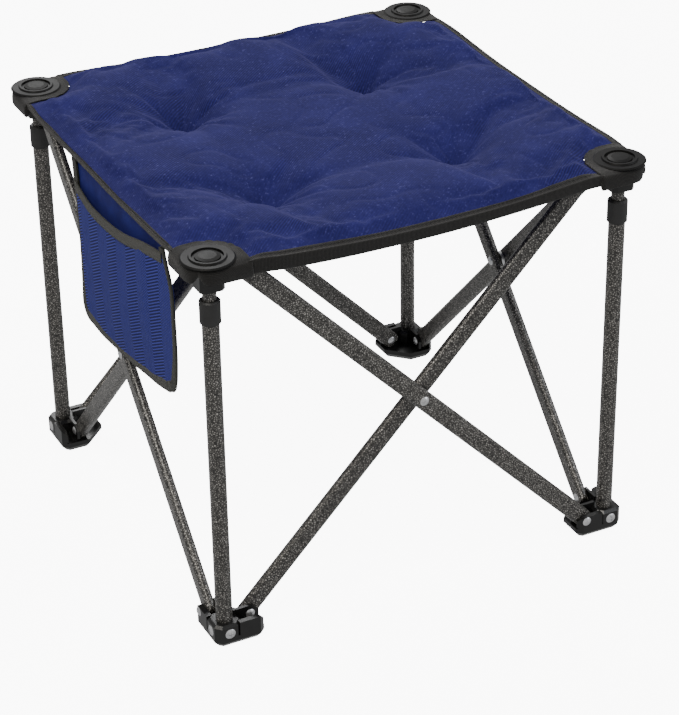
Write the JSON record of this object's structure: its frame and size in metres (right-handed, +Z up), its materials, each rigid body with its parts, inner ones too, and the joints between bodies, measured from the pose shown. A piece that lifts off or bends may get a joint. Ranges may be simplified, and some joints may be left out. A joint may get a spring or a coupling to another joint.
{
  "type": "folding camp stool",
  "caption": "Low square folding stool: telescoping posts with crossing braces on every side, padded cloth seat, corner caps and a side pocket.",
  "frame": {"origin": "on the ground, under the middle of the seat", "axes": "+Z up; -Y is the front side, the pocket hangs on the -X side; the seat's edges run along X and Y"},
  "size_m": [0.47, 0.47, 0.4107],
  "materials": {
    "seat_fabric": "brushed woven polyester, blue",
    "binding_webbing": "ribbed charcoal webbing",
    "cap_plastic": "moulded, satin black",
    "foot_plastic": "moulded, semi-gloss black",
    "collar_plastic": "moulded, matte black",
    "hammertone_tube": "dark grey hammertone powder coat on steel tube",
    "zinc_steel": "bright zinc plated",
    "pocket_net": "fine knitted net, blue",
    "pocket_cloth": "woven polyester, blue",
    "pocket_tape": "ribbed charcoal tape"
  },
  "bodies": {
    "foot_front_left": {"foot_front_left": "foot_plastic", "foot_fasteners_front_left": "zinc_steel", "lower_post_front_left": "hammertone_tube", "collar_front_left": "collar_plastic"},
    "bracket_front_left": {"bracket_front_left": "foot_plastic", "bracket_rivets_front_left": "zinc_steel", "upper_post_front_left": "hammertone_tube", "corner_patch_front_left": "binding_webbing", "corner_cap_front_left": "cap_plastic", "seat_edge_front": "seat_fabric"},
    "foot_front_right": {"foot_front_right": "foot_plastic", "foot_fasteners_front_right": "zinc_steel", "lower_post_front_right": "hammertone_tube", "collar_front_right": "collar_plastic"},
    "bracket_front_right": {"bracket_front_right": "foot_plastic", "bracket_rivets_front_right": "zinc_steel", "upper_post_front_right": "hammertone_tube", "corner_patch_front_right": "binding_webbing", "corner_cap_front_right": "cap_plastic", "seat_edge_right": "seat_fabric"},
    "foot_back_right": {"foot_back_right": "foot_plastic", "foot_fasteners_back_right": "zinc_steel", "lower_post_back_right": "hammertone_tube", "collar_back_right": "collar_plastic"},
    "bracket_back_right": {"bracket_back_right": "foot_plastic", "bracket_rivets_back_right": "zinc_steel", "upper_post_back_right": "hammertone_tube", "corner_patch_back_right": "binding_webbing", "corner_cap_back_right": "cap_plastic", "seat_edge_back": "seat_fabric"},
    "foot_back_left": {"foot_back_left": "foot_plastic", "foot_fasteners_back_left": "zinc_steel", "lower_post_back_left": "hammertone_tube", "collar_back_left": "collar_plastic"},
    "bracket_back_left": {"bracket_back_left": "foot_plastic", "bracket_rivets_back_left": "zinc_steel", "upper_post_back_left": "hammertone_tube", "corner_patch_back_left": "binding_webbing", "corner_cap_back_left": "cap_plastic", "seat_edge_left": "seat_fabric", "pocket_back": "pocket_cloth", "pocket_front": "pocket_net", "pocket_binding": "pocket_tape"},
    "inner_brace_front": {"inner_brace_front": "hammertone_tube", "cross_rivet_front": "zinc_steel"},
    "outer_brace_front": {"outer_brace_front": "hammertone_tube"},
    "seat_panel_front": {"seat_panel_front": "seat_fabric"},
    "inner_brace_right": {"inner_brace_right": "hammertone_tube", "cross_rivet_right": "zinc_steel"},
    "outer_brace_right": {"outer_brace_right": "hammertone_tube"},
    "seat_panel_right": {"seat_panel_right": "seat_fabric"},
    "inner_brace_back": {"inner_brace_back": "hammertone_tube", "cross_rivet_back": "zinc_steel"},
    "outer_brace_back": {"outer_brace_back": "hammertone_tube"},
    "seat_panel_back": {"seat_panel_back": "seat_fabric"},
    "inner_brace_left": {"inner_brace_left": "hammertone_tube", "cross_rivet_left": "zinc_steel"},
    "outer_brace_left": {"outer_brace_left": "hammertone_tube"},
    "seat_panel_left": {"seat_panel_left": "seat_fabric"}
  },
  "joints": [
    {"name": "fold", "type": "hinge", "parent": "foot_front_left", "child": "inner_brace_front", "pos_m": [-0.182, -0.2001, 0.02], "axis": [0, -1, 0], "range_deg": [0, 37.05]},
    {"name": "front_crossing", "type": "hinge", "parent": "inner_brace_front", "child": "outer_brace_front", "pos_m": [0, -0.2066, 0.208], "axis": [0, -1, 0], "range_deg": [-74.1, 0]},
    {"name": "front_right_foot_pivot", "type": "hinge", "parent": "outer_brace_front", "child": "foot_front_right", "pos_m": [0.182, -0.2131, 0.02], "axis": [0, -1, 0], "range_deg": [0, 37.06]},
    {"name": "front_left_bracket_pivot", "type": "hinge", "parent": "outer_brace_front", "child": "bracket_front_left", "pos_m": [-0.182, -0.2131, 0.396], "axis": [0, -1, 0], "range_deg": [0, 37.06], "deforming": ["seat_edge_front"]},
    {"name": "front_right_bracket_pivot", "type": "hinge", "parent": "inner_brace_front", "child": "bracket_front_right", "pos_m": [0.182, -0.2001, 0.396], "axis": [0, -1, 0], "range_deg": [-37.06, 0], "deforming": ["seat_edge_right"]},
    {"name": "right_brace_pivot", "type": "hinge", "parent": "foot_front_right", "child": "inner_brace_right", "pos_m": [0.2001, -0.182, 0.02], "axis": [1, 0, 0], "range_deg": [0, 37.06]},
    {"name": "right_crossing", "type": "hinge", "parent": "inner_brace_right", "child": "outer_brace_right", "pos_m": [0.2066, 0, 0.208], "axis": [1, 0, 0], "range_deg": [-74.1, 0]},
    {"name": "back_right_foot_pivot", "type": "hinge", "parent": "outer_brace_right", "child": "foot_back_right", "pos_m": [0.2131, 0.182, 0.02], "axis": [1, 0, 0], "range_deg": [0, 37.06]},
    {"name": "back_right_bracket_pivot", "type": "hinge", "parent": "inner_brace_right", "child": "bracket_back_right", "pos_m": [0.2001, 0.182, 0.396], "axis": [1, 0, 0], "range_deg": [-37.06, 0], "deforming": ["seat_edge_back"]},
    {"name": "back_brace_pivot", "type": "hinge", "parent": "foot_back_right", "child": "inner_brace_back", "pos_m": [0.182, 0.2001, 0.02], "axis": [0, 1, 0], "range_deg": [0, 37.06]},
    {"name": "back_crossing", "type": "hinge", "parent": "inner_brace_back", "child": "outer_brace_back", "pos_m": [0, 0.2066, 0.208], "axis": [0, 1, 0], "range_deg": [-74.1, 0]},
    {"name": "left_brace_pivot", "type": "hinge", "parent": "foot_front_left", "child": "outer_brace_left", "pos_m": [-0.2131, -0.182, 0.02], "axis": [-1, 0, 0], "range_deg": [-37.06, 0]},
    {"name": "left_crossing", "type": "hinge", "parent": "outer_brace_left", "child": "inner_brace_left", "pos_m": [-0.2066, 0, 0.208], "axis": [-1, 0, 0], "range_deg": [0, 74.1]},
    {"name": "back_left_foot_pivot", "type": "hinge", "parent": "inner_brace_left", "child": "foot_back_left", "pos_m": [-0.2001, 0.182, 0.02], "axis": [-1, 0, 0], "range_deg": [-37.06, 0]},
    {"name": "back_left_bracket_pivot", "type": "hinge", "parent": "outer_brace_left", "child": "bracket_back_left", "pos_m": [-0.2131, 0.182, 0.396], "axis": [-1, 0, 0], "range_deg": [0, 37.06], "deforming": ["seat_edge_left", "pocket_back", "pocket_front", "pocket_binding"]},
    {"name": "seat_fold_front", "type": "hinge", "parent": "bracket_front_left", "child": "seat_panel_front", "pos_m": [0, -0.169, 0.40906], "axis": [1, 0, 0], "range_deg": [0, 83.55], "deforming": ["seat_panel_front"]},
    {"name": "seat_fold_right", "type": "hinge", "parent": "bracket_front_right", "child": "seat_panel_right", "pos_m": [0.169, 0, 0.40906], "axis": [0, 1, 0], "range_deg": [0, 83.55], "deforming": ["seat_panel_right"]},
    {"name": "seat_fold_back", "type": "hinge", "parent": "bracket_back_right", "child": "seat_panel_back", "pos_m": [0, 0.169, 0.40906], "axis": [-1, 0, 0], "range_deg": [0, 83.55], "deforming": ["seat_panel_back"]},
    {"name": "seat_fold_left", "type": "hinge", "parent": "bracket_back_left", "child": "seat_panel_left", "pos_m": [-0.169, 0, 0.40906], "axis": [0, -1, 0], "range_deg": [0, 83.55], "deforming": ["seat_panel_left"]}
  ],
  "couplings": [
    {"joint": "front_crossing", "follows": "fold", "ratio": -2},
    {"joint": "front_right_foot_pivot", "follows": "fold", "ratio": 1},
    {"joint": "front_left_bracket_pivot", "follows": "fold", "ratio": 1},
    {"joint": "front_right_bracket_pivot", "follows": "fold", "ratio": -1},
    {"joint": "right_brace_pivot", "follows": "fold", "ratio": 1},
    {"joint": "right_crossing", "follows": "fold", "ratio": -2},
    {"joint": "back_right_foot_pivot", "follows": "fold", "ratio": 1},
    {"joint": "back_right_bracket_pivot", "follows": "fold", "ratio": -1},
    {"joint": "back_brace_pivot", "follows": "fold", "ratio": 1},
    {"joint": "back_crossing", "follows": "fold", "ratio": -2},
    {"joint": "left_brace_pivot", "follows": "fold", "ratio": -1},
    {"joint": "left_crossing", "follows": "fold", "ratio": 2},
    {"joint": "back_left_foot_pivot", "follows": "fold", "ratio": -1},
    {"joint": "back_left_bracket_pivot", "follows": "fold", "ratio": 1},
    {"joint": "seat_fold_front", "follows": "fold", "ratio": 2.2551},
    {"joint": "seat_fold_right", "follows": "fold", "ratio": 2.2551},
    {"joint": "seat_fold_back", "follows": "fold", "ratio": 2.2551},
    {"joint": "seat_fold_left", "follows": "fold", "ratio": 2.2551}
  ]
}
